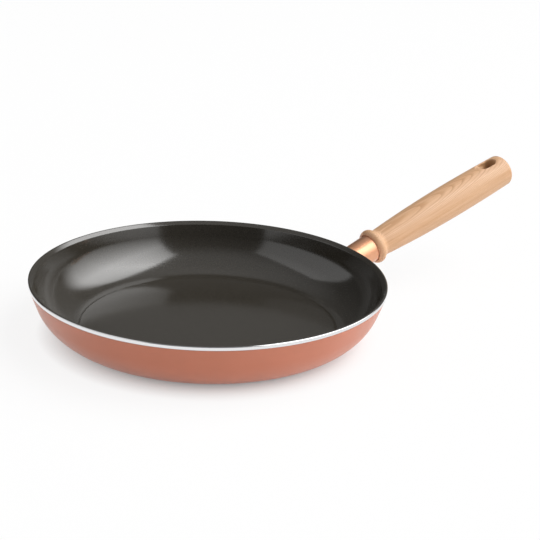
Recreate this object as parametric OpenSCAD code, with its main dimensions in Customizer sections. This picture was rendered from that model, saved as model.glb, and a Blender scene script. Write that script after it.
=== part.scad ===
// Frying pan with a turned wooden handle, in millimetres.
// The origin is the centre of the base's underside, +Z is up and the handle points along +X.
// Pan pieces are revolved about Z. Handle pieces lie on one tilted line, the handle axis,
// and their places on it are counted from the point where it crosses the rim's radius.

/* [Pan] */
// Radius of the rim
rim_r = 140; // [100:1:170]
// Height from the underside to the top of the rim
pan_h = 44; // [42:1:60]
// Slope of the wall's outside above the base plane, in degrees
wall_a = 70; // [60:1:73]
// Radius of the outer curve from the base to the wall
knee_r = 40; // [24:1:42]
// Thickness of the pressed aluminium where the base turns into the wall
wall_t = 3; // [2:0.1:4]
// How much further out the inside's curve lies, which thins the wall as it rises
wall_thinning = 1; // [0:0.1:1.2]
// Thickness of the pressed aluminium base
base_t = 4; // [3.6:0.1:8]
// Angle up the inside's curve at which the sloping edge of the raised floor ends, in degrees
floor_edge_a = 7.5; // [3:0.5:10]
// Width of that sloping edge
floor_edge_run = 2; // [1:0.1:4]
// Thickness of the nonstick coat and of the outer enamel
coat_t = 0.2; // [0.1:0.05:0.5]
// Width of the bare ring between the flat base and the start of the enamel
bare_foot = 7; // [5:0.5:10]

/* [Rim] */
// Height of the bare machined band round the rim
band_h = 3.4; // [2.5:0.1:5]
// How far the band stands out past the wall below it
band_lap = 0.6; // [0.3:0.05:1.2]
// Width of the rim's top, from the band's face to the foot of the bevel
rim_w = 4.2; // [3.8:0.1:5.5]
// Radius of the rounded crown on top of the band
crown_r = 1; // [0.6:0.1:1.4]
// Slope of the bevel inside the crown, in degrees
bevel_a = 40; // [25:1:50]
// Direction on the crown, from level, at which the nonstick coat ends
coat_end_a = 50; // [20:5:80]

/* [Induction plate] */
// Thickness of the perforated steel plate pressed into the base
plate_t = 0.6; // [0.4:0.1:1.2]
// Width of the aluminium ring left round the plate
plate_margin = 16; // [10:1:30]
// Distance from one ring of holes to the next
hole_pitch = 13; // [10:0.5:20]
// Radius of one hole in the plate
hole_r = 3; // [2:0.1:4]

/* [Handle axis] */
// Tilt of the handle above level, in degrees
handle_tilt = 17; // [5:1:25]
// Depth of the handle axis below the rim's top, at the rim's radius
handle_drop = 17; // [16:0.5:19]

/* [Ferrule] */
// Distance from the rim's radius to the wooden handle's front face
ferrule_run = 30; // [26:0.5:40]
// Outer radius where the ferrule enters the wood
ferrule_r = 12.2; // [11.5:0.1:13]
// Half angle by which the ferrule narrows towards the pan, in degrees
ferrule_a = 2.4; // [0:0.1:3]
// Thickness of the drawn copper-coloured sheet
ferrule_t = 0.8; // [0.5:0.1:1.2]
// Depth to which the ferrule sits in the wood
ferrule_seat = 3; // [2:0.5:6]

/* [Handle boss] */
// Radius of the round boss
boss_r = 7.5; // [7:0.1:8]
// Radius of the welded foot
boss_foot_r = 9; // [8.5:0.1:9.4]
// Length of the weld flare from the foot to the round boss
boss_flare = 3; // [1:0.5:5]
// Distance across the two flats that keep the handle from turning
boss_flats = 12; // [11:0.1:13]
// Length of the boss past the ferrule, inside the wood
boss_key = 16; // [10:0.5:20]

/* [Wooden handle] */
// Length of the turned wood
wood_len = 167.5; // [135:0.5:210]
// Radius of the bead at the front
bead_r = 15.4; // [14.5:0.1:17]
// Radius of the bead's round section
bead_round = 4.6; // [3.5:0.1:6]
// Radius of the neck behind the bead
neck_r = 12.1; // [11.5:0.1:13]
// Radius of the hollow curve in the neck
cove_r = 7; // [4:0.5:14]
// Radius of the handle where it is thickest
swell_r = 15.4; // [14.5:0.1:18]
// Distance from the wood's front face to the thickest place
swell_at = 106; // [80:1:110]
// Radius that the tail would reach at the handle's end
tail_r = 14.5; // [13:0.1:15]
// Radius of the rounded end edge
tail_round = 3.2; // [1:0.1:5]

/* [Hanging hole] */
// Radius of the hole through the handle
hang_r = 5.6; // [5.4:0.1:6.5]
// Distance from the hole's axis to the handle's end
hang_inset = 14.6; // [12:0.1:22]
// Length of the scooped lead-in on the pan side of the hole
scoop_len = 12; // [6:0.5:16]
// Slope of the scoop's floor below the handle axis, in degrees
scoop_a = 34; // [25:1:40]

/* [Screw stack] */
// Radius of the long screw's shank
screw_r = 3; // [2.5:0.5:3]
// Radius of the screw's round head
head_r = 5; // [4.5:0.1:5]
// Height of the screw's head
head_h = 6; // [4:0.5:7]
// Distance across the flats of the hexagon socket in the head
socket_af = 5; // [4:0.5:6]
// Depth of the hexagon socket
socket_depth = 3; // [2:0.5:3.5]
// Thickness of the flat washer
flat_washer_t = 1.2; // [0.8:0.1:1.6]
// Thickness of the split lock washer
lock_washer_t = 1.6; // [1:0.1:2]
// Width of the split in the lock washer
lock_split = 1.5; // [1:0.1:2.5]
// Depth of the pocket from the hanging hole's wall to the washer's seat
pocket_depth = 13; // [11:0.5:20]
// Thickness of the heat washer between the ferrule and the wood
heat_washer_t = 1.5; // [1:0.1:3]
// Outer radius of the threaded insert in the boss
insert_r = 4.5; // [4:0.1:4.8]
// Length of the threaded insert
insert_len = 14; // [8:0.5:16]
// Length of the screw's tip past the insert
tip_past = 3; // [1:0.5:6]

/* [Fits] */
// Gap between pieces that only pass each other
fit_gap = 0.2; // [0.1:0.05:0.3]
// Gap between pieces that are pressed or screwed together
press_gap = 0.05; // [0.02:0.01:0.1]

/* [Hidden] */
// Straight pieces in each curve of an outline
knee_steps = 18;
arc_steps = 10;
// Overrun of every cut past the face that it leaves
over = 1;
// Smoothness of round pieces
$fn = 96;

// The knee, the wall and the rim, seen in the half plane of radius and height
band_z = pan_h - coat_t - band_h;
wall_end = [rim_r - band_lap, band_z];
wall_dir = [cos(wall_a), sin(wall_a)];
wall_out = [sin(wall_a), -cos(wall_a)];
wall_len = (band_z - knee_r * (1 - cos(wall_a))) / sin(wall_a);
base_r = wall_end[0] - wall_len * wall_dir[0] - knee_r * wall_out[0];
knee_centre = [base_r, knee_r];
enamel_a = asin(bare_foot / knee_r);
crown_centre = [rim_r - crown_r, pan_h - coat_t - crown_r];
bevel_dir = [cos(bevel_a), sin(bevel_a)];
bevel_out = [-sin(bevel_a), cos(bevel_a)];

// The wall's inside rises from its own curve straight to the foot of the bevel
inside_centre = knee_centre + [wall_thinning, 0];
bevel_foot = meet([rim_r - rim_w, 0], [0, 1], crown_centre + crown_r * bevel_out, bevel_dir);
inside_a = 90 + heading(inside_centre, bevel_foot)
    - acos((knee_r - wall_t) / norm(bevel_foot - inside_centre));
inside_dir = [cos(inside_a), sin(inside_a)];

// The plate and its rings of holes
plate_r = base_r - plate_margin;
ring_count = floor((plate_r - 2 * hole_r) / hole_pitch);
holes_more = 6;

// Places along the handle axis
wood_front = ferrule_run;
ferrule_end = wood_front + ferrule_seat;
socket_floor = ferrule_end + heat_washer_t;
boss_end = socket_floor + boss_key;
hang_at = wood_front + wood_len - hang_inset;
washer_seat = hang_at - hang_r - pocket_depth;
head_seat = washer_seat + flat_washer_t + lock_washer_t;
screw_tip = boss_end - insert_len - tip_past;
// How far blanks reach into the pan before the wall's shape is cut from them
saddle_reach = knee_r;
axis_point = [rim_r, 0, pan_h - handle_drop];

// The turned outline's curves, in the half plane of length and radius
bead_centre = [bead_round, bead_r - bead_round];
cove_rise = neck_r + cove_r - bead_centre[1];
cove_centre = bead_centre + [sqrt(pow(bead_round + cove_r, 2) - pow(cove_rise, 2)), cove_rise];
swell_run = swell_at - cove_centre[0];
swell_rise = swell_r - cove_centre[1];
swell_curve = (pow(swell_run, 2) + pow(swell_rise, 2) - pow(cove_r, 2)) / (2 * (swell_r - neck_r));
swell_centre = [swell_at, swell_r - swell_curve];
tail_drop = swell_r - tail_r;
tail_curve = (pow(wood_len - swell_at, 2) + pow(tail_drop, 2)) / (2 * tail_drop);
tail_centre = [swell_at, swell_r - tail_curve];
edge_run = wood_len - tail_round - swell_at;
edge_centre = tail_centre + [edge_run, sqrt(pow(tail_curve - tail_round, 2) - pow(edge_run, 2))];

// Points on an arc, from one direction to another
function arc(centre, radius, from, to, steps) = [
    for (i = [0:steps])
        let (a = from + (to - from) * i / steps)
        centre + radius * [cos(a), sin(a)]
];

// Direction from one point to another, in degrees
function heading(from, to) = atan2(to[1] - from[1], to[0] - from[0]);

// Where the line through p along u meets the line through q along v
function meet(p, u, q, v) =
    p + u * ((q - p)[0] * v[1] - (q - p)[1] * v[0]) / (u[0] * v[1] - u[1] * v[0]);

function backwards(points) = [for (i = [len(points) - 1:-1:0]) points[i]];

// The outside of the pan from an angle on the knee up to the band, or a skin standing off it
function outside(skin, from) = concat(
    arc(knee_centre, knee_r + skin, from - 90, wall_a - 90, knee_steps),
    [wall_end + wall_out * skin]
);

// The inside of the pan, or a skin standing off it, from the axis over the bevel to a direction
// on the crown
function inside(skin, end_a) =
    let (
        radius = knee_r - wall_t - skin,
        curve = arc(inside_centre, radius, floor_edge_a - 90, inside_a - 90, knee_steps),
        bevel_top = crown_centre + (crown_r + skin) * bevel_out
    )
    concat(
        [[0, base_t + skin], [curve[0][0] - floor_edge_run, base_t + skin]],
        curve,
        [meet(curve[knee_steps], inside_dir, bevel_top, bevel_dir)],
        arc(crown_centre, crown_r + skin, 90 + bevel_a, end_a, arc_steps)
    );

// The filled outer shape of the pan, standing off its wall by a gap
module pan_envelope(gap) {
    rotate_extrude()
        polygon(concat(
            [[0, 0]],
            outside(gap, 0),
            [[rim_r + gap, band_z], [rim_r + gap, pan_h], [0, pan_h]]
        ));
}

// Centres of the plate's holes, six more in each ring
module hole_places() {
    for (ring = [1:ring_count])
        for (i = [0:holes_more * ring - 1])
            rotate([0, 0, 360 * i / (holes_more * ring)])
                translate([hole_pitch * ring, 0, 0])
                    children();
}

// Puts what is built up its own Z on the handle axis, at a distance from the rim's radius
module on_axis(place) {
    translate(axis_point)
        rotate([0, 90 - handle_tilt, 0])
            translate([0, 0, place])
                children();
}

// A round bar with two flats
module keyed_bar(radius, flats, height) {
    intersection() {
        cylinder(r = radius, h = height);
        translate([-flats / 2, -radius, 0])
            cube([flats, 2 * radius, height]);
    }
}

// A flat ring
module ring(outer, inner, height) {
    difference() {
        cylinder(r = outer, h = height);
        translate([0, 0, -over])
            cylinder(r = inner, h = height + 2 * over);
    }
}

// Pressed and machined aluminium pan, with the buttons that fill the plate's holes
module pan_body() {
    color("silver")
        difference() {
            rotate_extrude()
                polygon(concat(
                    inside(0, 0),
                    [[rim_r, band_z + band_lap]],
                    backwards(outside(0, 0)),
                    [[0, 0]]
                ));
            difference() {
                translate([0, 0, -over])
                    cylinder(r = plate_r + press_gap, h = plate_t + over);
                hole_places()
                    cylinder(r = hole_r - press_gap, h = plate_t + over);
            }
        }
}

module nonstick_coating() {
    color("dimgray")
        rotate_extrude()
            polygon(concat(
                inside(coat_t, coat_end_a),
                backwards(inside(0, coat_end_a))
            ));
}

// Terracotta enamel, left open where the boss is welded to the wall
module outer_enamel() {
    color("indianred")
        difference() {
            rotate_extrude()
                polygon(concat(
                    outside(coat_t, enamel_a),
                    backwards(outside(0, enamel_a))
                ));
            on_axis(-saddle_reach)
                cylinder(r = boss_foot_r + fit_gap, h = saddle_reach + boss_flare);
        }
}

module induction_plate() {
    color("lightgray")
        difference() {
            cylinder(r = plate_r, h = plate_t);
            hole_places()
                translate([0, 0, -over])
                    cylinder(r = hole_r, h = plate_t + 2 * over);
        }
}

// Aluminium boss, its foot cut to the wall's curve and its nose keyed for the wood
module handle_boss() {
    color("gainsboro")
        difference() {
            on_axis(-saddle_reach)
                difference() {
                    union() {
                        cylinder(r = boss_foot_r, h = saddle_reach);
                        translate([0, 0, saddle_reach])
                            cylinder(r1 = boss_foot_r, r2 = boss_r, h = boss_flare);
                        cylinder(r = boss_r, h = saddle_reach + ferrule_end - 2 * ferrule_t);
                        keyed_bar(boss_r, boss_flats, saddle_reach + boss_end);
                    }
                    translate([0, 0, saddle_reach + boss_end - insert_len])
                        cylinder(r = insert_r + press_gap, h = insert_len + over);
                    translate([0, 0, saddle_reach + screw_tip - over])
                        cylinder(r = screw_r + fit_gap, h = boss_end - screw_tip);
                }
            pan_envelope(0);
        }
}

module threaded_insert() {
    color("goldenrod")
        on_axis(boss_end - insert_len)
            ring(insert_r, screw_r + press_gap, insert_len);
}

// The ferrule's outer or inner shape, from inside the pan to a place on the axis
module ferrule_cone(depth, end) {
    run = end + saddle_reach;
    wide = ferrule_r - depth + (end - wood_front) * tan(ferrule_a);
    on_axis(-saddle_reach)
        cylinder(r1 = wide - run * tan(ferrule_a), r2 = wide, h = run);
}

// Drawn sleeve with an end wall, saddle-cut to the enamelled wall
module ferrule() {
    color("peru")
        difference() {
            ferrule_cone(0, ferrule_end);
            ferrule_cone(ferrule_t, ferrule_end - ferrule_t);
            on_axis(ferrule_end - ferrule_t - over)
                keyed_bar(boss_r + fit_gap, boss_flats + 2 * fit_gap, ferrule_t + 2 * over);
            pan_envelope(coat_t + press_gap);
        }
}

module heat_washer() {
    color("saddlebrown")
        on_axis(ferrule_end)
            ring(ferrule_r - ferrule_t, boss_r + fit_gap, heat_washer_t);
}

// Turned outline of the wood: bead, cove, swell, tail and rounded end
module wood_outline() {
    bead_to_cove = heading(bead_centre, cove_centre);
    cove_to_swell = heading(cove_centre, swell_centre);
    tail_to_edge = heading(tail_centre, edge_centre);
    polygon([
        for (p = concat(
            [[0, 0]],
            arc(bead_centre, bead_round, 180, bead_to_cove, arc_steps),
            arc(cove_centre, cove_r, bead_to_cove - 180, cove_to_swell, arc_steps),
            arc(swell_centre, swell_curve, cove_to_swell + 180, 90, arc_steps),
            arc(tail_centre, tail_curve, 90, tail_to_edge, arc_steps),
            arc(edge_centre, tail_round, tail_to_edge, 0, arc_steps),
            [[wood_len, 0]]
        )) [p[1], p[0]]
    ]);
}

// Oblique round cut whose floor runs from the handle's top down into the hanging hole
module scoop() {
    radius = hang_r - press_gap;
    floor_drop = (scoop_len + hang_r) * tan(scoop_a);
    centre_up = swell_r - floor_drop + radius / cos(scoop_a);
    translate([-centre_up, 0, hang_at])
        rotate([0, scoop_a - 180, 0])
            cylinder(r = radius, h = swell_r + 2 * scoop_len);
}

module wood_handle() {
    color("burlywood")
        on_axis(0)
            difference() {
                translate([0, 0, wood_front])
                    rotate_extrude()
                        wood_outline();
                translate([0, 0, wood_front - over])
                    cylinder(r = ferrule_r + fit_gap, h = socket_floor - wood_front + over);
                keyed_bar(boss_r + fit_gap, boss_flats + 2 * fit_gap, boss_end + fit_gap);
                cylinder(r = screw_r + fit_gap, h = hang_at);
                translate([0, 0, washer_seat])
                    cylinder(r = head_r + 2 * fit_gap, h = hang_at - washer_seat);
                translate([-swell_r - over, 0, hang_at])
                    rotate([0, 90, 0])
                        cylinder(r = hang_r, h = 2 * (swell_r + over));
                scoop();
            }
}

module flat_washer() {
    color("gray")
        on_axis(washer_seat)
            ring(head_r, screw_r + fit_gap, flat_washer_t);
}

module lock_washer() {
    color("darkgray")
        on_axis(washer_seat + flat_washer_t)
            difference() {
                ring(head_r - fit_gap, screw_r + fit_gap, lock_washer_t);
                translate([0, -lock_split / 2, -over])
                    cube([head_r + over, lock_split, lock_washer_t + 2 * over]);
            }
}

// Long socket-head screw that draws the wood and the ferrule against the pan
module handle_screw() {
    tip = screw_r / 4;
    color("slategray")
        on_axis(screw_tip)
            difference() {
                union() {
                    cylinder(r1 = screw_r - tip, r2 = screw_r, h = tip);
                    translate([0, 0, tip])
                        cylinder(r = screw_r, h = head_seat - screw_tip - tip);
                    translate([0, 0, head_seat - screw_tip])
                        cylinder(r = head_r, h = head_h);
                }
                translate([0, 0, head_seat - screw_tip + head_h - socket_depth])
                    cylinder(r = socket_af / 2 / cos(30), h = socket_depth + over, $fn = 6);
            }
}

pan_body();
nonstick_coating();
outer_enamel();
induction_plate();
handle_boss();
threaded_insert();
ferrule();
heat_washer();
wood_handle();
flat_washer();
lock_washer();
handle_screw();
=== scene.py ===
"""Round frying pan with a dark ceramic inside, a terracotta outside and a turned wooden handle.

Metres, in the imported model's own frame: the origin is the centre of the underside, +Z is up
and the handle points along +X. The sections follow the pan as it is put together.
"""

import math

import bmesh
import bpy
from mathutils import Matrix, Vector
from mathutils.kdtree import KDTree


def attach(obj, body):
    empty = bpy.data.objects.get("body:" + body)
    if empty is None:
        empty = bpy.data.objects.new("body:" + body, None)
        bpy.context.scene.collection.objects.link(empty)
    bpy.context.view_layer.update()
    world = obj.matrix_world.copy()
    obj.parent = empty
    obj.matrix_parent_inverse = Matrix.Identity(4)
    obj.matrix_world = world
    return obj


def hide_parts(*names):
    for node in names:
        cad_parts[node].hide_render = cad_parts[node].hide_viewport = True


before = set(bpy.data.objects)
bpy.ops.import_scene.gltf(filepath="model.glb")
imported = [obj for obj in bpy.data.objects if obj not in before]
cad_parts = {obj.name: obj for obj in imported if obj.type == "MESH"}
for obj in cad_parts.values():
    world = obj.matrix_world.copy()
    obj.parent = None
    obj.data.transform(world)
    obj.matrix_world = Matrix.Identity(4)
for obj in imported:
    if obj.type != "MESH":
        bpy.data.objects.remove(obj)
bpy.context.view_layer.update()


# Pressed aluminium pan.
# One disc is pressed to shape, and its edge is machined to the bright band that stays bare
# round the rim. The base stays bare too. It holds the steel plate, whose holes it fills.

RIM = 0.140            # radius of the band
WALL_FOOT = 0.096687   # radius at which the flat base turns into the knee
KNEE = 0.040           # radius of the knee outside
WALL_SLOPE = 70
WALL_THICK = 0.003     # at the base
INNER_FOOT = 0.097687  # the curve inside lies further out, which thins the wall as it rises
INNER_SLOPE = 78.095
BASE_THICK = 0.004
FLOOR_STEP = 0.012     # from point to point along the floor
FLOOR_EDGE = 7.5       # angle up the curve inside at which the raised floor's edge ends
FLOOR_EDGE_RUN = 0.002
LIP = 0.0015           # curves over the floor's edge, at its foot and at the foot of the bevel
FOOT = 0.0012
RIM_EDGE = 0.0005
CROWN = 0.001
CROWN_AT = (0.139, 0.0428)
BEVEL_SLOPE = 40
BAND_LOW = 0.0404      # height of the band's lower edge
BAND_LAP = 0.0006      # how far the band stands out past the wall
BAND_EDGE = 0.0003     # curve of that edge, the height of its middle and its last direction
BAND_EDGE_UP = 0.0008
BAND_EDGE_END = -50
PLATE_ROOM = 0.08074   # radius of the plate's seat
MOUTH_OUT = 0.0003     # how far the seat's mouth is opened out, and how deep
MOUTH_UP = 0.0002
PLATE_THICK = 0.0006
HOLE_PITCH = 0.013
HOLE_RINGS = 5
BUTTON = 0.00295       # radius of the metal in each hole of the plate
BUTTON_EDGE = 0.0001
PAN_SIDES = 288
BARE_METAL = (0.80, 0.80, 0.81)


def bow(centre, radius, start, end, steps):
    """Points on an arc in the half plane of radius and height, angles in degrees."""
    points = []
    for i in range(steps + 1):
        a = math.radians(start + (end - start) * i / steps)
        points.append((centre[0] + radius * math.cos(a), centre[1] + radius * math.sin(a)))
    return points


def crossing(p, slope_p, q, slope_q):
    """Where two sloping lines of the half plane meet."""
    u = (math.cos(math.radians(slope_p)), math.sin(math.radians(slope_p)))
    v = (math.cos(math.radians(slope_q)), math.sin(math.radians(slope_q)))
    t = ((q[0] - p[0]) * v[1] - (q[1] - p[1]) * v[0]) / (u[0] * v[1] - u[1] * v[0])
    return (p[0] + u[0] * t, p[1] + u[1] * t)


def only(thing):
    """Selects one object and makes it the active one."""
    bpy.ops.object.select_all(action="DESELECT")
    thing.select_set(True)
    bpy.context.view_layer.objects.active = thing


SAME_PLACE = 0.000002  # points that lie closer are one
CREASE = 35            # an edge that turns more stays sharp


def close_seams():
    """In edit mode, merges points that share a place and clears slivers."""
    bpy.ops.mesh.select_all(action="SELECT")
    bpy.ops.mesh.remove_doubles(threshold=SAME_PLACE)
    bpy.ops.mesh.dissolve_degenerate(threshold=SAME_PLACE / 2)


def smooth():
    """Shades the chosen object smooth, but for its sharp edges."""
    bpy.ops.object.shade_smooth_by_angle(angle=math.radians(CREASE))


def turned(name, outline, sides):
    """An outline drawn point by point and spun about the upright axis."""
    # A small plane, merged into one point, starts the outline.
    bpy.ops.object.select_all(action="DESELECT")
    bpy.ops.mesh.primitive_plane_add(size=0.001, location=(outline[0][0], 0, outline[0][1]))
    piece = bpy.context.object
    piece.name = piece.data.name = name
    bpy.ops.object.transform_apply(location=True, rotation=True, scale=True)
    bpy.ops.object.mode_set(mode="EDIT")
    bpy.ops.mesh.select_mode(type="VERT")
    bpy.ops.mesh.select_all(action="SELECT")
    bpy.ops.mesh.merge(type="CENTER")
    for (r, z), (r_next, z_next) in zip(outline, outline[1:]):
        bpy.ops.mesh.extrude_region_move(
            TRANSFORM_OT_translate={"value": (r_next - r, 0, z_next - z)})
    bpy.ops.mesh.select_all(action="SELECT")
    bpy.ops.mesh.spin(steps=sides, angle=math.tau, center=(0, 0, 0), axis=(0, 0, 1))
    close_seams()
    bpy.ops.mesh.normals_make_consistent(inside=False)
    bpy.ops.object.mode_set(mode="OBJECT")
    smooth()
    return piece


def knee_line(depth, start):
    """The knee at a depth inside the wall's outer face, from an angle up to the wall."""
    return bow((WALL_FOOT, KNEE), KNEE - depth, start - 90, WALL_SLOPE - 90, steps=40)


def heading(p, q):
    """The direction from one place to another, in degrees."""
    return math.degrees(math.atan2(q[1] - p[1], q[0] - p[0]))


def eased(before, corner, after, radius):
    """The curve that rounds a corner of an outline."""
    into, out = heading(before, corner), heading(corner, after)
    back = radius * math.tan(math.radians(abs(out - into) / 2))
    side = 90 if out > into else -90
    a, b = math.radians(into), math.radians(into + side)
    centre = (corner[0] - back * math.cos(a) + radius * math.cos(b),
              corner[1] - back * math.sin(a) + radius * math.sin(b))
    return bow(centre, radius, into - side, out - side, steps=6)


def inside_line(skin, end):
    """The inside, or a skin on it, from the axis over the bevel to a direction on the crown."""
    floor = BASE_THICK + skin
    curve = bow((INNER_FOOT, KNEE), KNEE - WALL_THICK - skin,
                FLOOR_EDGE - 90, INNER_SLOPE - 90, steps=44)
    edge = (curve[0][0] - FLOOR_EDGE_RUN, floor)
    lean = math.radians(BEVEL_SLOPE + 90)
    crown = CROWN + skin
    bevel = (CROWN_AT[0] + crown * math.cos(lean), CROWN_AT[1] + crown * math.sin(lean))
    bevel_foot = crossing(curve[-1], INNER_SLOPE, bevel, BEVEL_SLOPE)
    return (
        [(FLOOR_STEP * i, floor) for i in range(9)] + [(edge[0] - LIP, floor)]
        + eased((0, floor), edge, curve[0], LIP + skin)
        + eased(edge, curve[0], curve[1], FOOT - skin)
        + curve[1:]
        + eased(curve[-1], bevel_foot, bevel, RIM_EDGE + skin)
        + bow(CROWN_AT, crown, BEVEL_SLOPE + 90, end, steps=12)
    )


wall_top = (RIM - BAND_LAP, BAND_LOW)
pan = turned("pan_pressed_aluminium", (
    inside_line(0, 0)
    + bow((RIM - BAND_EDGE, BAND_LOW + BAND_EDGE_UP), BAND_EDGE, 0, BAND_EDGE_END, steps=5)
    + [wall_top]
    + knee_line(0, 0)[::-1]
    + [(PLATE_ROOM + MOUTH_OUT, 0), (PLATE_ROOM, MOUTH_UP),
       (PLATE_ROOM, PLATE_THICK), (0, PLATE_THICK)]
), PAN_SIDES)

# The metal in the plate's holes is modelled once, with its lower edge broken, and copied.
bpy.ops.object.select_all(action="DESELECT")
bpy.ops.mesh.primitive_cylinder_add(
    vertices=32, radius=BUTTON, depth=PLATE_THICK, location=(HOLE_PITCH, 0, PLATE_THICK / 2))
button = bpy.context.object
bpy.ops.object.mode_set(mode="EDIT")
bpy.ops.mesh.select_all(action="DESELECT")
bpy.ops.object.mode_set(mode="OBJECT")
for edge in button.data.edges:
    edge.select = all(button.data.vertices[v].co.z < 0 for v in edge.vertices)
bpy.ops.object.mode_set(mode="EDIT")
bpy.ops.mesh.select_mode(type="EDGE")
bpy.ops.mesh.bevel(offset=BUTTON_EDGE, segments=2)
bpy.ops.object.mode_set(mode="OBJECT")
smooth()
buttons = []
for ring in range(1, HOLE_RINGS + 1):
    for i in range(6 * ring):
        copy = button.copy()
        copy.data = button.data.copy()
        bpy.context.collection.objects.link(copy)
        a = math.tau * i / (6 * ring)
        copy.location = (HOLE_PITCH * ring * math.cos(a), HOLE_PITCH * ring * math.sin(a),
                         PLATE_THICK / 2)
        buttons.append(copy)
bpy.data.objects.remove(button)
only(pan)
for copy in buttons:
    copy.select_set(True)
bpy.ops.object.join()


def new_finish(name, colour, rough, metal=0.0):
    """A material with its shader set, its node tree, and object coordinates to read."""
    material = bpy.data.materials.new(name)
    material.use_nodes = True
    tree = material.node_tree
    shader = tree.nodes["Principled BSDF"]
    shader.inputs["Base Color"].default_value = (*colour, 1)
    shader.inputs["Roughness"].default_value = rough
    shader.inputs["Metallic"].default_value = metal
    return material, tree, shader, tree.nodes.new("ShaderNodeTexCoord").outputs["Object"]


def fill(tree, made, inputs):
    """Fills a node's inputs with values or links."""
    for key, value in inputs.items():
        if isinstance(value, bpy.types.NodeSocket):
            tree.links.new(value, made.inputs[key])
        else:
            made.inputs[key].default_value = value


def node(tree, kind, inputs=None, **settings):
    """Adds a node with its settings and inputs."""
    made = tree.nodes.new("ShaderNode" + kind)
    for key, value in settings.items():
        setattr(made, key, value)
    fill(tree, made, inputs or {})
    return made


def new_group(name, inputs, outputs):
    """An empty node group with float or vector sockets, named as kind:name."""
    group = bpy.data.node_groups.new(name, "ShaderNodeTree")
    for names, way in ((inputs, "INPUT"), (outputs, "OUTPUT")):
        for item in names:
            kind, label = item.split(":")
            group.interface.new_socket(label, in_out=way, socket_type="NodeSocket" + kind)
    return group, group.nodes.new("NodeGroupInput").outputs, group.nodes.new(
        "NodeGroupOutput").inputs


def use_group(tree, group, inputs):
    """Places a node group in a material with its own values, and gives its one output."""
    made = tree.nodes.new("ShaderNodeGroup")
    made.node_tree = group
    fill(tree, made, inputs)
    return made.outputs[0]


def off_axis(tree, place):
    """How far a place lies from the Z axis."""
    flat = node(tree, "VectorMath", {0: place, 1: (1, 1, 0)}, operation="MULTIPLY").outputs[0]
    return node(tree, "VectorMath", {0: flat}, operation="LENGTH").outputs["Value"]


# The lathe leaves fine rings, and hands leave soft marks.
lathe_rings, given, put = new_group(
    "lathe_rings", ["Vector:Vector", "Float:Pitch"], ["Float:Rings"])
along = node(lathe_rings, "SeparateXYZ", {"Vector": given["Vector"]}).outputs["Z"]
line = node(lathe_rings, "CombineXYZ", {
    "X": off_axis(lathe_rings, given["Vector"]), "Y": along}).outputs[0]
per_metre = node(lathe_rings, "Math", {0: 1.0, 1: given["Pitch"]}, operation="DIVIDE").outputs[0]
rings = node(lathe_rings, "TexNoise", {
    "Vector": line, "Scale": per_metre, "Detail": 2.0, "Roughness": 0.6},
    noise_dimensions="2D").outputs["Fac"]
lathe_rings.links.new(rings, put["Rings"])

soft_marks, given, put = new_group(
    "soft_marks", ["Vector:Vector", "Float:Size", "Float:Low", "Float:High"], ["Float:Value"])
per_metre = node(soft_marks, "Math", {0: 1.0, 1: given["Size"]}, operation="DIVIDE").outputs[0]
marks = node(soft_marks, "TexNoise", {
    "Vector": given["Vector"], "Scale": per_metre, "Detail": 4.0, "Roughness": 0.62}).outputs["Fac"]
spread = node(soft_marks, "MapRange", {
    "Value": marks, "From Min": 0.3, "From Max": 0.7,
    "To Min": given["Low"], "To Max": given["High"]}).outputs[0]
soft_marks.links.new(spread, put["Value"])


def patches(tree, place, size, low=0.0, high=1.0):
    """A value that wanders between low and high in soft patches of a size."""
    return use_group(tree, soft_marks, {"Vector": place, "Size": size, "Low": low, "High": high})


def vary_rough(tree, shader, place, size, low, high):
    """Makes the surface smoother and rougher in soft patches."""
    tree.links.new(patches(tree, place, size, low, high), shader.inputs["Roughness"])


def emboss(tree, shader, height, strength, distance):
    """Gives the surface a fine relief."""
    bump = node(tree, "Bump", {"Height": height, "Strength": strength, "Distance": distance})
    tree.links.new(bump.outputs[0], shader.inputs["Normal"])


def blended(tree, share, first, second):
    """A mix of two colours, each a triple or a link."""
    first, second = [colour if isinstance(colour, bpy.types.NodeSocket) else (*colour, 1)
                     for colour in (first, second)]
    return node(tree, "Mix", {"Factor": share, 6: first, 7: second}, data_type="RGBA").outputs[2]


bare, tree, shader, place = new_finish("machined_aluminium", BARE_METAL, rough=0.15, metal=1.0)
rings = use_group(tree, lathe_rings, {"Vector": place, "Pitch": 0.00035})
vary_rough(tree, shader, place, size=0.02, low=0.11, high=0.18)
emboss(tree, shader, rings, strength=0.25, distance=0.00002)
pan.data.materials.clear()
pan.data.materials.append(bare)
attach(pan, "root")
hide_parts("pan_body")


# Induction plate.
# A stamped disc of magnetic stainless steel, pressed into the base so that the pan's
# aluminium comes up through its holes, and then turned flat with it.

PLATE_STEEL = (0.56, 0.56, 0.57)
PLATE_DARK = (0.50, 0.50, 0.51)
PLATE_LIGHT = (0.62, 0.62, 0.63)
stainless, tree, shader, place = new_finish("turned_stainless", PLATE_STEEL, rough=0.3, metal=1.0)
rings = use_group(tree, lathe_rings, {"Vector": place, "Pitch": 0.0006})
tree.links.new(blended(tree, rings, PLATE_DARK, PLATE_LIGHT), shader.inputs["Base Color"])
vary_rough(tree, shader, place, size=0.03, low=0.26, high=0.36)
emboss(tree, shader, rings, strength=0.3, distance=0.00003)
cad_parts["induction_plate"].material_slots[0].material = stainless


# Nonstick coat.
# A dark ceramic coat sprayed over the whole inside, the bevel and the crown. It is satin,
# with the fine pebbled skin of sprayed ceramic and small mineral flecks.

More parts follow.
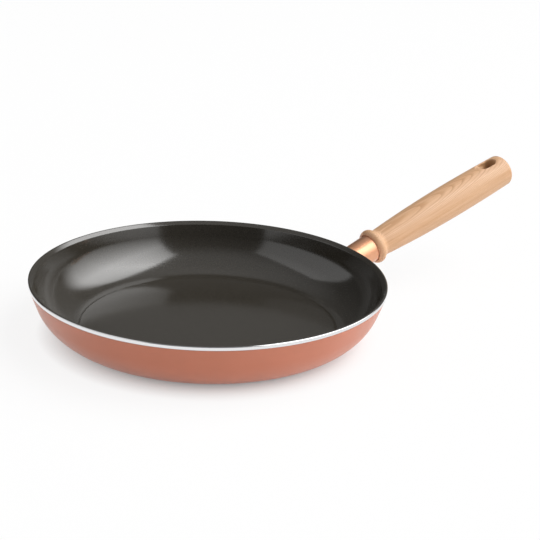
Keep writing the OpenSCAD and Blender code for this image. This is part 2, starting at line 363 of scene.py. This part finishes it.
COAT = 0.0002
COAT_END = 50          # direction on the crown at which the spray was masked
CERAMIC = (0.0358, 0.031, 0.0238)
CERAMIC_DARK = (0.0315, 0.0272, 0.0205)
CERAMIC_LIGHT = (0.040, 0.0347, 0.027)
FLECK = (0.088, 0.083, 0.075)
FLECK_CELLS = 1100.0   # to a metre
CELLS_BARE = 0.62      # share of them that have no fleck
coat = turned("nonstick_ceramic_coat",
              inside_line(COAT, COAT_END) + inside_line(0, COAT_END)[::-1], PAN_SIDES)

pebbled, given, put = new_group(
    "pebbled_skin", ["Vector:Vector", "Float:Size"], ["Float:Height"])
per_metre = node(pebbled, "Math", {0: 1.0, 1: given["Size"]}, operation="DIVIDE").outputs[0]
pebbles = node(pebbled, "TexNoise", {
    "Vector": given["Vector"], "Scale": per_metre, "Detail": 2.5, "Roughness": 0.55}).outputs["Fac"]
pebbled.links.new(pebbles, put["Height"])

ceramic, tree, shader, place = new_finish("dark_ceramic", CERAMIC, rough=0.13)
shader.inputs["Specular IOR Level"].default_value = 1.0
cells = node(tree, "TexVoronoi", {"Vector": place, "Scale": FLECK_CELLS}).outputs
fleck = node(tree, "MapRange", {
    "Value": cells["Distance"], "From Min": 0.10, "From Max": 0.26,
    "To Min": 1.0, "To Max": 0.0}).outputs[0]
pick = node(tree, "SeparateColor", {"Color": cells["Color"]}).outputs[0]
rare = node(tree, "Math", {0: pick, 1: CELLS_BARE}, operation="GREATER_THAN").outputs[0]
fleck = node(tree, "Math", {0: fleck, 1: rare}, operation="MULTIPLY").outputs[0]
body = blended(tree, patches(tree, place, size=0.0025), CERAMIC_DARK, CERAMIC_LIGHT)
tree.links.new(blended(tree, fleck, body, FLECK), shader.inputs["Base Color"])
vary_rough(tree, shader, place, size=0.03, low=0.115, high=0.15)
skin = use_group(tree, pebbled, {"Vector": place, "Size": 0.0005})
emboss(tree, shader, skin, strength=0.2, distance=0.00005)
coat.data.materials.append(ceramic)
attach(coat, "root")
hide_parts("nonstick_coating")


# Outer enamel.
# Terracotta enamel sprayed on the outside and fired. It starts on the knee, past the bare
# base, and ends under the band's lap.

FOOT_ANGLE = 10.08     # angle up the knee at which the enamel starts
TERRACOTTA = (0.574, 0.194, 0.112)
TERRACOTTA_DARK = (0.556, 0.187, 0.107)
TERRACOTTA_LIGHT = (0.592, 0.202, 0.118)
skin_low = knee_line(-COAT, FOOT_ANGLE)
metal_low = knee_line(0, FOOT_ANGLE)
lean = math.radians(WALL_SLOPE - 90)
skin_top = (wall_top[0] + COAT * math.cos(lean), wall_top[1] + COAT * math.sin(lean))
enamel = turned("terracotta_enamel_coat",
                skin_low + [skin_top, wall_top] + metal_low[::-1] + skin_low[:1], PAN_SIDES)
fired, tree, shader, place = new_finish("fired_terracotta", TERRACOTTA, rough=0.34)
shader.inputs["Specular IOR Level"].default_value = 0.4
tone = blended(tree, patches(tree, place, size=0.05), TERRACOTTA_DARK, TERRACOTTA_LIGHT)
tree.links.new(tone, shader.inputs["Base Color"])
vary_rough(tree, shader, place, size=0.02, low=0.31, high=0.38)
skin = use_group(tree, pebbled, {"Vector": place, "Size": 0.0016})
emboss(tree, shader, skin, strength=0.2, distance=0.00004)
enamel.data.materials.append(fired)
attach(enamel, "root")
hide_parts("outer_enamel")


# Handle boss and its insert.
# A cast aluminium boss is welded to the wall and machined to length with two flats. A brass
# insert is screwed into its nose, because a screw would strip the soft aluminium.

BOSS_METAL = (0.66, 0.66, 0.67)
cast, tree, shader, place = new_finish("machined_casting", BOSS_METAL, rough=0.42, metal=1.0)
vary_rough(tree, shader, place, size=0.002, low=0.36, high=0.52)
skin = use_group(tree, pebbled, {"Vector": place, "Size": 0.0008})
emboss(tree, shader, skin, strength=0.5, distance=0.00008)
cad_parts["handle_boss"].material_slots[0].material = cast

HANDLE_TILT = 17
AXIS_START = Vector((0.140, 0, 0.027))
on_axis = Matrix.Translation(AXIS_START) @ Matrix.Rotation(
    math.radians(90 - HANDLE_TILT), 4, "Y")


def along_handle(tree, place):
    """Turns object coordinates so that Z runs along the handle from the rim's radius."""
    back = on_axis.inverted()
    return node(tree, "Mapping", {
        "Vector": place, "Location": back.to_translation(),
        "Rotation": back.to_euler()}).outputs[0]


BRASS = (0.70, 0.50, 0.20)
brass, tree, shader, place = new_finish("turned_brass", BRASS, rough=0.3, metal=1.0)
rings = use_group(tree, lathe_rings, {"Vector": along_handle(tree, place), "Pitch": 0.0004})
emboss(tree, shader, rings, strength=0.3, distance=0.00003)
vary_rough(tree, shader, place, size=0.003, low=0.25, high=0.38)
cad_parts["threaded_insert"].material_slots[0].material = brass


# Ferrule.
# A thin drawn sleeve, copper plated and satin finished, cut to the curve of the wall at one
# end. It narrows towards the pan, and its other end sits in the wood.

SLEEVE = 0.0122        # radius where the sleeve enters the wood
SLEEVE_TAPER = 2.4
SLEEVE_THICK = 0.0008
SLEEVE_LIP = 0.0004    # curve of its end in the wood
WOOD_FRONT = 0.030
SLEEVE_END = 0.033
SLEEVE_START = -0.012  # inside the pan, cut away by the wall's shape
SLEEVE_STEPS = 30
KEYWAY = 0.0077
SADDLE_GAP = 0.00005   # between the sleeve and the enamel
SADDLE_LOW = -0.001    # ends of the cutter that has the pan's outside
SADDLE_HIGH = 0.060
HANDLE_SIDES = 144
COPPER = (0.80, 0.395, 0.222)
COPPER_DARK = (0.77, 0.375, 0.205)
COPPER_LIGHT = (0.82, 0.415, 0.24)


def sleeve_radius(place):
    """The sleeve's radius at a place along the handle."""
    return SLEEVE - (WOOD_FRONT - place) * math.tan(math.radians(SLEEVE_TAPER))


def cut_away(piece, cutter):
    """Takes the cutter's shape out of a piece."""
    only(piece)
    cut = piece.modifiers.new("cut", "BOOLEAN")
    cut.operation = "DIFFERENCE"
    cut.object = cutter
    bpy.ops.object.modifier_apply(modifier="cut")
    bpy.data.objects.remove(cutter)


lip_at = SLEEVE_END - SLEEVE_LIP
outer = []
for i in range(SLEEVE_STEPS + 1):
    t = SLEEVE_START + (lip_at - SLEEVE_START) * i / SLEEVE_STEPS
    outer.append((sleeve_radius(t), t))
shoulder = bow((sleeve_radius(SLEEVE_END) - SLEEVE_LIP, lip_at), SLEEVE_LIP, 0, 90, steps=6)
bore = [(KEYWAY, SLEEVE_END), (KEYWAY, SLEEVE_END - SLEEVE_THICK),
        (sleeve_radius(SLEEVE_END) - SLEEVE_THICK, SLEEVE_END - SLEEVE_THICK),
        (sleeve_radius(SLEEVE_START) - SLEEVE_THICK, SLEEVE_START)]
sleeve = turned("ferrule_copper_sleeve", outer + shoulder[1:] + bore + outer[:1], HANDLE_SIDES)
sleeve.matrix_world = on_axis
only(sleeve)
bpy.ops.object.transform_apply(location=True, rotation=True, scale=True)
clear = COAT + SADDLE_GAP
saddle = turned("saddle_cutter", (
    [(0, SADDLE_LOW), (WALL_FOOT, -clear)] + knee_line(-clear, 1)
    + [(wall_top[0] + clear, BAND_LOW - clear / 3), (RIM + clear, BAND_LOW),
       (RIM + clear, SADDLE_HIGH), (0, SADDLE_HIGH)]), PAN_SIDES)
cut_away(sleeve, saddle)
bpy.ops.object.mode_set(mode="EDIT")
close_seams()
bpy.ops.object.mode_set(mode="OBJECT")
smooth()

plated, tree, shader, place = new_finish("satin_copper", COPPER, rough=0.4, metal=0.88)
shader.inputs["Coat Weight"].default_value = 0.6
shader.inputs["Coat Roughness"].default_value = 0.14
rings = use_group(tree, lathe_rings, {"Vector": along_handle(tree, place), "Pitch": 0.0003})
vary_rough(tree, shader, place, size=0.008, low=0.37, high=0.43)
tone = blended(tree, patches(tree, place, size=0.006), COPPER_DARK, COPPER_LIGHT)
tree.links.new(tone, shader.inputs["Base Color"])
emboss(tree, shader, rings, strength=0.06, distance=0.00002)
sleeve.data.materials.append(plated)
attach(sleeve, "root")
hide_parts("ferrule")


# Heat washer.
# A moulded silicone ring between the ferrule's end and the wood keeps the heat of the pan
# from the handle.

SILICONE = (0.11, 0.045, 0.03)
silicone, tree, shader, place = new_finish("moulded_silicone", SILICONE, rough=0.55)
skin = use_group(tree, pebbled, {"Vector": place, "Size": 0.0004})
emboss(tree, shader, skin, strength=0.5, distance=0.00003)
vary_rough(tree, shader, place, size=0.003, low=0.48, high=0.62)
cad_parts["heat_washer"].material_slots[0].material = silicone


# Wooden handle.
# Beech, turned to a bead, a hollow neck, a long swell and a rounded end, and sanded smooth.
# It is bored for the ferrule, the boss and the screw, and a scooped hole goes through its end.

WOOD_LONG = 0.1675
SOCKET = (0.0124, 0.0045)           # radius and depth of the ferrule's seat
SOCKET_EDGE = (0.0003, 0.0008)      # how far its mouth is opened out, and how deep
BOSS_BORE = (0.0077, 0.0207)        # radius and depth
SCREW_BORE = 0.0032
POCKET = (0.0054, 0.1343)           # radius, and distance from the front to its floor
BEAD = (0.0046, 0.0108, 0.0046)     # place and radius of the middle of its curve, and the curve
NECK, COVE = 0.0121, 0.007          # least radius, and curve of the hollow there
SWELL, SWELL_AT = 0.0154, 0.106     # largest radius, and its place
TAIL, TAIL_ROUND = 0.0145, 0.0032   # radius at the end, and its rounding

rise = NECK + COVE - BEAD[1]
cove_at = (BEAD[0] + math.sqrt((BEAD[2] + COVE) ** 2 - rise ** 2), BEAD[1] + rise)
run, drop = SWELL_AT - cove_at[0], SWELL - cove_at[1]
swell_curve = (run ** 2 + drop ** 2 - COVE ** 2) / (2 * (SWELL - NECK))
swell_at = (SWELL_AT, SWELL - swell_curve)
fall = SWELL - TAIL
tail_curve = ((WOOD_LONG - SWELL_AT) ** 2 + fall ** 2) / (2 * fall)
tail_at = (SWELL_AT, SWELL - tail_curve)
run = WOOD_LONG - TAIL_ROUND - SWELL_AT
edge_at = (SWELL_AT + run, tail_at[1] + math.sqrt((tail_curve - TAIL_ROUND) ** 2 - run ** 2))
bead_turn, cove_turn = heading(BEAD, cove_at), heading(cove_at, swell_at)
edge_turn = heading(tail_at, edge_at)
mouth = 180 - math.degrees(math.asin((SOCKET[0] + SOCKET_EDGE[0] - BEAD[1]) / BEAD[2]))
skin_line = (
    bow(BEAD, BEAD[2], mouth, bead_turn, steps=22)
    + bow(cove_at, COVE, bead_turn - 180, cove_turn, steps=16)[1:]
    + bow(swell_at, swell_curve, cove_turn + 180, 90, steps=60)[1:]
    + bow(tail_at, tail_curve, 90, edge_turn, steps=38)[1:]
    + bow(edge_at, TAIL_ROUND, edge_turn, 0, steps=12)[1:]
)

HANG_AT = 0.1529               # place of the hanging hole
HANG = 0.0056                  # its radius
HANG_SIDES = 96
HANG_CUTTER = 0.04             # its cutter's length
SCOOP_LESS = 0.00005           # keeps the scoop's wall off the hole's
SCOOP_SLOPE = 34
SCOOP_START = 0.010223         # height of the scoop's own axis over the handle's, at the hole
SCOOP_CUTTER = 0.0394          # its cutter's length
wood_outline = [(0, HANG_AT), (POCKET[0], HANG_AT), (POCKET[0], POCKET[1]),
                (SCREW_BORE, POCKET[1]), (SCREW_BORE, BOSS_BORE[1]),
                (BOSS_BORE[0], BOSS_BORE[1]), (BOSS_BORE[0], SOCKET[1]),
                (SOCKET[0], SOCKET[1]), (SOCKET[0], SOCKET_EDGE[1])]
wood_outline += [(r, t) for t, r in skin_line] + [(0, WOOD_LONG)]
grip = turned("handle_turned_beech", wood_outline, HANDLE_SIDES)

# The skin is made finer round the ends of the hole, and put back on its turned outline.
FINE_FROM, FINE_TO = 0.126, 0.164   # along the wood
FINE_ASIDE = 0.010                  # to each side
FINE_OUT = 0.012                    # from the axis


def by_the_hole(spot):
    """Whether a place on the turned skin lies round the ends of the hanging hole."""
    return (FINE_FROM < spot.z < FINE_TO and abs(spot.y) < FINE_ASIDE
            and math.hypot(spot.x, spot.y) > FINE_OUT)


def tail_radius(z):
    """The handle's radius at a place past its widest."""
    return tail_at[1] + math.sqrt(tail_curve ** 2 - (z - tail_at[0]) ** 2)


bpy.ops.object.mode_set(mode="EDIT")
bpy.ops.mesh.select_mode(type="FACE")
bpy.ops.mesh.select_all(action="DESELECT")
bpy.ops.object.mode_set(mode="OBJECT")
for face in grip.data.polygons:
    face.select = by_the_hole(face.center)
bpy.ops.object.mode_set(mode="EDIT")
bpy.ops.mesh.subdivide(number_cuts=3)
bpy.ops.object.mode_set(mode="OBJECT")
for point in grip.data.vertices:
    if by_the_hole(point.co):
        grow = tail_radius(point.co.z) / math.hypot(point.co.x, point.co.y)
        point.co.x, point.co.y = point.co.x * grow, point.co.y * grow

bpy.ops.mesh.primitive_cylinder_add(
    vertices=HANG_SIDES, radius=HANG, depth=HANG_CUTTER,
    location=(0, 0, HANG_AT), rotation=(0, math.pi / 2, 0))
hole = bpy.context.object
tilt = math.radians(SCOOP_SLOPE - 180)
bpy.ops.mesh.primitive_cylinder_add(
    vertices=HANG_SIDES, radius=HANG - SCOOP_LESS, depth=SCOOP_CUTTER,
    location=(-SCOOP_START + math.sin(tilt) * SCOOP_CUTTER / 2, 0,
              HANG_AT + math.cos(tilt) * SCOOP_CUTTER / 2),
    rotation=(0, tilt, 0))
scoop = bpy.context.object
cut_away(grip, hole)
cut_away(grip, scoop)

# The hole's edges are sanded round: the wood next to each edge sinks along the hole, the more
# so the sharper the edge was.
SANDED = 0.0014
SHARP = math.radians(15)   # least turn of an edge that is sanded
SKIN_DEPTH = 0.00005       # how far under the outline a point still counts as on it
EDGE_SPAN = 0.0012         # past the nearest edge, over which the turns are averaged
SIDE_BY = 0.1              # keeps the two ends of the hole apart when it is looked along


def seen_along_hole(spot):
    """A place as seen along the hole, on its own side of the handle."""
    return Vector((math.copysign(SIDE_BY, spot.x), spot.y, spot.z))


skin_mesh = bmesh.new()
skin_mesh.from_mesh(grip.data)
corners = []
for edge in skin_mesh.edges:
    turn = edge.calc_face_angle(0)
    if turn > SHARP and all(
            by_the_hole(v.co) and math.hypot(v.co.x, v.co.y) > tail_radius(v.co.z) - SKIN_DEPTH
            for v in edge.verts):
        corners += [(seen_along_hole(v.co), turn) for v in edge.verts]
nearest = KDTree(len(corners))
for i, (spot, turn) in enumerate(corners):
    nearest.insert(spot, i)
nearest.balance()
for point in skin_mesh.verts:
    if by_the_hole(point.co):
        spot = seen_along_hole(point.co)
        off = nearest.find(spot)[2]
        turns = [corners[i][1] for _, i, _ in nearest.find_range(spot, off + EDGE_SPAN)]
        over = SANDED * min(math.tan(sum(turns) / len(turns) / 2), 1) - off
        if over > 0:
            sink = SANDED - math.sqrt(SANDED ** 2 - over ** 2)
            skin_x = math.sqrt(tail_radius(point.co.z) ** 2 - point.co.y ** 2)
            point.co.x = math.copysign(min(abs(point.co.x), skin_x - sink), point.co.x)

# The slivers that the cuts and the sanding leave are merged away.
bmesh.ops.remove_doubles(skin_mesh, verts=skin_mesh.verts, dist=2 * SAME_PLACE)
bmesh.ops.dissolve_degenerate(skin_mesh, edges=skin_mesh.edges, dist=SAME_PLACE)
skin_mesh.to_mesh(grip.data)
skin_mesh.free()
only(grip)
grip.matrix_world = on_axis @ Matrix.Translation((0, 0, WOOD_FRONT))
bpy.ops.object.transform_apply(location=True, rotation=True, scale=True)
smooth()

BEECH = (0.655, 0.385, 0.212)
STREAK_DARK = (0.672, 0.388, 0.209)
STREAK_LIGHT = (0.742, 0.468, 0.280)
LATE_WOOD = (0.53, 0.272, 0.125)
PORE = (0.46, 0.24, 0.11)
# painted shade for the walls of the hanging hole
HOLE_SHADE = (0.525, 0.30, 0.15)
beech, tree, shader, place = new_finish("turned_beech", BEECH, rough=0.42)
grain = along_handle(tree, place)


def grown(tree, place, per_metre, detail, rough):
    """Noise drawn out along the grain, with its own number of waves across and along it."""
    drawn = node(tree, "Mapping", {"Vector": place, "Scale": per_metre}).outputs[0]
    return node(tree, "TexNoise", {
        "Vector": drawn, "Scale": 1.0, "Detail": detail, "Roughness": rough}).outputs


# The years' layers are nearly flat. They lie about the tree's pith, which runs well below the
# handle and a little askew, so that they show as arches on top and as lines along the sides.
PITH = 0.080           # its distance from the handle's axis
LAYER_TURN = math.radians(15)
LAYER_RISE = 0.06      # angle between the pith and the handle, in radians
YEAR = 0.0007          # thickness of a layer. The wave texture has 20 / tau rings to a unit
DRIFT = 0.0016         # how far the layers stray
pith = node(tree, "Mapping", {
    "Vector": grain,
    "Location": (-PITH * math.cos(LAYER_TURN), -PITH * math.sin(LAYER_TURN), 0.0),
    "Rotation": (-LAYER_RISE * math.sin(LAYER_TURN), LAYER_RISE * math.cos(LAYER_TURN), 0.0),
}).outputs[0]
waves = grown(tree, grain, (70.0, 70.0, 14.0), detail=3.0, rough=0.5)["Color"]
drift = node(tree, "VectorMath", {0: waves, 1: (0.5, 0.5, 0.5)}, operation="SUBTRACT").outputs[0]
drift = node(tree, "VectorMath", {0: drift, 3: DRIFT}, operation="SCALE").outputs[0]
bent = node(tree, "VectorMath", {0: pith, 1: drift}, operation="ADD").outputs[0]
years = node(tree, "TexWave", {"Vector": bent, "Scale": math.tau / 20 / YEAR, "Distortion": 0.0},
             wave_type="RINGS", rings_direction="Z", wave_profile="SAW").outputs["Fac"]
dark_end = node(tree, "MapRange", {
    "Value": years, "From Min": 0.5, "From Max": 1.0, "To Min": 0.0, "To Max": 1.0},
    interpolation_type="SMOOTHSTEP").outputs[0]
good_years = node(tree, "TexNoise", {
    "W": off_axis(tree, bent), "Scale": 0.6 / YEAR, "Detail": 2.0},
    noise_dimensions="1D").outputs["Fac"]
strong = node(tree, "MapRange", {
    "Value": good_years, "From Min": 0.35, "From Max": 0.65, "To Min": 0.5, "To Max": 1.0},
).outputs[0]
late = node(tree, "Math", {0: dark_end, 1: strong}, operation="MULTIPLY").outputs[0]
streaks = grown(tree, grain, (420.0, 420.0, 13.0), detail=2.0, rough=0.55)["Fac"]
streaky = node(tree, "MapRange", {
    "Value": streaks, "From Min": 0.32, "From Max": 0.68}).outputs[0]
ground = blended(tree, streaky, STREAK_DARK, STREAK_LIGHT)
layered = blended(tree, late, ground, LATE_WOOD)
fine = grown(tree, grain, (2600.0, 2600.0, 90.0), detail=3.0, rough=0.7)["Fac"]
pores = node(tree, "MapRange", {
    "Value": fine, "From Min": 0.56, "From Max": 0.74, "To Min": 0.0, "To Max": 0.5}).outputs[0]
wood_tone = blended(tree, pores, layered, PORE)

# The cut walls of the hanging hole are painted darker, as painted shade inside the hole. They start
# just under the handle's skin.
SKIN_BEFORE = (0.156, 0.0153)       # place along the handle and radius of the skin there
SKIN_BEHIND = (0.193, 0.01468)
CUTS_AT = WOOD_FRONT + HANG_AT - 0.004
CUTS_REACH = 0.018
from_pan = node(tree, "SeparateXYZ", {"Vector": grain}).outputs["Z"]
skin_here = node(tree, "MapRange", {
    "Value": from_pan, "From Min": SKIN_BEFORE[0], "From Max": SKIN_BEHIND[0],
    "To Min": SKIN_BEFORE[1], "To Max": SKIN_BEHIND[1]}).outputs[0]
sunk = node(tree, "Math", {0: skin_here, 1: off_axis(tree, grain)},
            operation="SUBTRACT").outputs[0]
under_skin = node(tree, "MapRange", {
    "Value": sunk, "From Min": 0.0003, "From Max": 0.0014}).outputs[0]
at_hole = node(tree, "Math", {0: from_pan, 1: CUTS_AT, 2: CUTS_REACH},
               operation="COMPARE").outputs[0]
# where the painted shade of the hole's walls lies
hole_shade = node(tree, "Math", {0: under_skin, 1: at_hole}, operation="MULTIPLY").outputs[0]
tree.links.new(blended(tree, hole_shade, wood_tone, HOLE_SHADE), shader.inputs["Base Color"])
vary_rough(tree, shader, place, size=0.012, low=0.38, high=0.48)
emboss(tree, shader, fine, strength=0.18, distance=0.00005)
grip.data.materials.append(beech)
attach(grip, "root")
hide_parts("wood_handle")


# Screw and its washers.
# A zinc-plated socket screw goes in from the hanging hole, and a flat washer and a split
# lock washer spread its pull on the wood.

ZINC = (0.58, 0.59, 0.60)
ZINC_BLUE = (0.52, 0.54, 0.56)
ZINC_WARM = (0.64, 0.64, 0.63)
zinc, tree, shader, place = new_finish("zinc_plate", ZINC, rough=0.33, metal=1.0)
tone = blended(tree, patches(tree, place, size=0.004), ZINC_BLUE, ZINC_WARM)
tree.links.new(tone, shader.inputs["Base Color"])
vary_rough(tree, shader, place, size=0.002, low=0.27, high=0.42)
skin = use_group(tree, pebbled, {"Vector": place, "Size": 0.0005})
emboss(tree, shader, skin, strength=0.2, distance=0.00003)
for name in ("handle_screw", "flat_washer", "lock_washer"):
    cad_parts[name].material_slots[0].material = zinc


# Studio.
# A white sweep stands under the pan. A tall soft box on the right lights it, a weaker one on
# the left fills in, and a small weak one stands behind. The camera is where the photograph's was.

SWEEP = 8.0
UNDER_PAN = 0.0002     # gap that keeps the sweep off the pan's underside
PAPER = (0.9, 0.9, 0.9, 1)


def grey_ramp(tree, share, stops):
    """Grey levels at places along a value, with straight runs between them."""
    made = node(tree, "ValToRGB", {"Fac": share})
    ramp = made.color_ramp
    for spot, level in stops[1:-1]:
        ramp.elements.new(spot)
    for stop, (spot, level) in zip(ramp.elements, stops):
        stop.position = spot
        stop.color = (level, level, level, 1)
    return made.outputs[0]


bpy.ops.object.select_all(action="DESELECT")
bpy.ops.mesh.primitive_circle_add(vertices=128, radius=SWEEP, fill_type="NGON",
                                  location=(0, 0, -UNDER_PAN))
sweep = bpy.context.object
sweep.name = "studio_sweep"
bpy.ops.object.transform_apply(location=True, rotation=True, scale=True)
white = bpy.data.materials.new("white_sweep")
white.use_nodes = True
tree = white.node_tree
tree.nodes.remove(tree.nodes["Principled BSDF"])
paper = node(tree, "BsdfDiffuse", {"Color": PAPER}).outputs[0]
glow = node(tree, "Emission", {"Color": (1, 1, 1, 1), "Strength": 1.0}).outputs[0]
path = node(tree, "LightPath").outputs
seen = node(tree, "Math", {0: path["Is Camera Ray"], 1: path["Is Glossy Ray"]},
            operation="MAXIMUM").outputs[0]
seen = node(tree, "Math", {0: seen, 1: path["Is Transmission Ray"]},
            operation="MAXIMUM").outputs[0]

# Seen by the camera or in a gloss, the sweep is mostly white by itself. Only in a ring round
# the pan's foot does the paper show its own shade, so that the pan keeps its shadow.
RING_UNIT = 0.2        # distance at which the ramp ends
far_off = node(tree, "VectorMath", {0: node(tree, "TexCoord").outputs["Object"]},
               operation="LENGTH").outputs["Value"]
far_off = node(tree, "Math", {0: far_off, 1: RING_UNIT}, operation="DIVIDE").outputs[0]
ring = grey_ramp(tree, far_off, [
    (0.090 / RING_UNIT, 0.88), (0.095 / RING_UNIT, 0.0), (0.135 / RING_UNIT, 0.88)])
share = node(tree, "Math", {0: seen, 1: ring}, operation="MULTIPLY").outputs[0]
mixed = node(tree, "MixShader", {0: share, 1: paper, 2: glow}).outputs[0]

# From below, the camera looks through it.
under = node(tree, "NewGeometry").outputs["Backfacing"]
hidden = node(tree, "Math", {0: under, 1: path["Is Camera Ray"]}, operation="MULTIPLY").outputs[0]
clear_shader = node(tree, "BsdfTransparent").outputs[0]
both = node(tree, "MixShader", {0: hidden, 1: mixed, 2: clear_shader}).outputs[0]
tree.links.new(both, tree.nodes["Material Output"].inputs["Surface"])
sweep.data.materials.append(white)

# The room is dim and a little paler overhead.
world = bpy.context.scene.world or bpy.data.worlds.new("studio")
bpy.context.scene.world = world
world.use_nodes = True
tree = world.node_tree
room = node(tree, "TexCoord").outputs["Generated"]
height = node(tree, "SeparateXYZ", {"Vector": room}).outputs["Z"]
shade = grey_ramp(tree, height, [(0.0, 1.0), (0.02, 0.045), (0.57, 0.105), (0.90, 0.40)])
tree.links.new(shade, tree.nodes["Background"].inputs["Color"])

LIGHT_OFF = 4.0        # distance from the pan to each soft box
LOW_SHARE = 0.1        # of its light that a soft box has left at the floor
FADE_RUN = 8.0         # over which its light falls off sideways
SLANT_RUN = 1.5        # rise of its slanted edge to a metre along
SLANT_SOFT = 1.2       # half the height over which that edge fades
UNCUT = -50.0          # a slant so low that nothing is cut


def soft_box(name, turn, near, far, low, high, level, full_from,
             hot=0.0, side_fall=0.0, slant=UNCUT):
    """An upright lit rectangle that dims towards the floor and to its sides.

    It faces the pan from the direction turn. Its sides lie at near and far, counted along it
    from the place right in front of the pan. It is brightest at hot and above full_from. It
    has no light where its height less SLANT_RUN times the place along it is less than slant.
    """
    light = bpy.data.lights.new(name, "AREA")
    light.shape = "RECTANGLE"
    light.size, light.size_y = far - near, high - low
    light.energy = level * math.pi * (far - near) * (high - low)
    light.use_nodes = True
    a = math.radians(turn)
    tree = light.node_tree
    spot = node(tree, "NewGeometry").outputs["Position"]
    up = node(tree, "SeparateXYZ", {"Vector": spot}).outputs["Z"]
    rising = node(tree, "MapRange", {
        "Value": up, "From Min": 0.0, "From Max": full_from, "To Min": LOW_SHARE,
        "To Max": 1.0}).outputs[0]
    along = node(tree, "VectorMath", {0: spot, 1: (-math.sin(a), math.cos(a), 0)},
                 operation="DOT_PRODUCT").outputs["Value"]
    off = node(tree, "Math", {0: along, 1: hot}, operation="SUBTRACT").outputs[0]
    off = node(tree, "Math", {0: off}, operation="ABSOLUTE").outputs[0]
    fading = node(tree, "MapRange", {
        "Value": off, "From Max": FADE_RUN, "To Min": 1.0,
        "To Max": 1.0 - FADE_RUN * side_fall}).outputs[0]
    dim = node(tree, "Math", {0: rising, 1: fading}, operation="MULTIPLY").outputs[0]
    over = node(tree, "Math", {0: along, 1: -SLANT_RUN, 2: up},
                operation="MULTIPLY_ADD").outputs[0]
    open_part = node(tree, "MapRange", {
        "Value": over, "From Min": slant - SLANT_SOFT, "From Max": slant + SLANT_SOFT}).outputs[0]
    dim = node(tree, "Math", {0: dim, 1: open_part}, operation="MULTIPLY").outputs[0]
    tree.links.new(dim, tree.nodes["Emission"].inputs["Strength"])
    box = bpy.data.objects.new(name, light)
    bpy.context.collection.objects.link(box)
    box.visible_camera = False
    middle = (near + far) / 2
    box.location = (LIGHT_OFF * math.cos(a) - middle * math.sin(a),
                    LIGHT_OFF * math.sin(a) + middle * math.cos(a), (low + high) / 2)
    box.rotation_euler = (math.pi / 2, 0, a + math.pi / 2)


soft_box("soft_box_key", turn=-33.4, near=-6.0, far=7.5, low=0.2, high=11.0, level=4.7,
         full_from=4.0, hot=0.6, side_fall=0.0825, slant=-2.2)
soft_box("soft_box_fill", turn=148.1, near=-2.54, far=4.4, low=0.54, high=5.32, level=0.66,
         full_from=0.2)
soft_box("soft_box_back", turn=34.0, near=-2.1, far=2.1, low=0.0, high=2.7, level=0.1,
         full_from=0.1)

CAMERA_TURN = -38.4
CAMERA_DOWN = 19.996
CAMERA_ROLL = 2.416
CAMERA_AT = (-0.53664, -0.75342, 0.38659)
LENS = 83.73
camera = bpy.data.objects.new("camera", bpy.data.cameras.new("camera"))
bpy.context.collection.objects.link(camera)
camera.data.lens = LENS
camera.data.clip_start, camera.data.clip_end = 0.05, 20
camera.matrix_world = (
    Matrix.Translation(CAMERA_AT)
    @ Matrix.Rotation(math.radians(CAMERA_TURN), 4, "Z")
    @ Matrix.Rotation(math.radians(90 - CAMERA_DOWN), 4, "X")
    @ Matrix.Rotation(math.radians(CAMERA_ROLL), 4, "Z"))
bpy.context.scene.camera = camera
bpy.context.scene.view_settings.view_transform = "Standard"
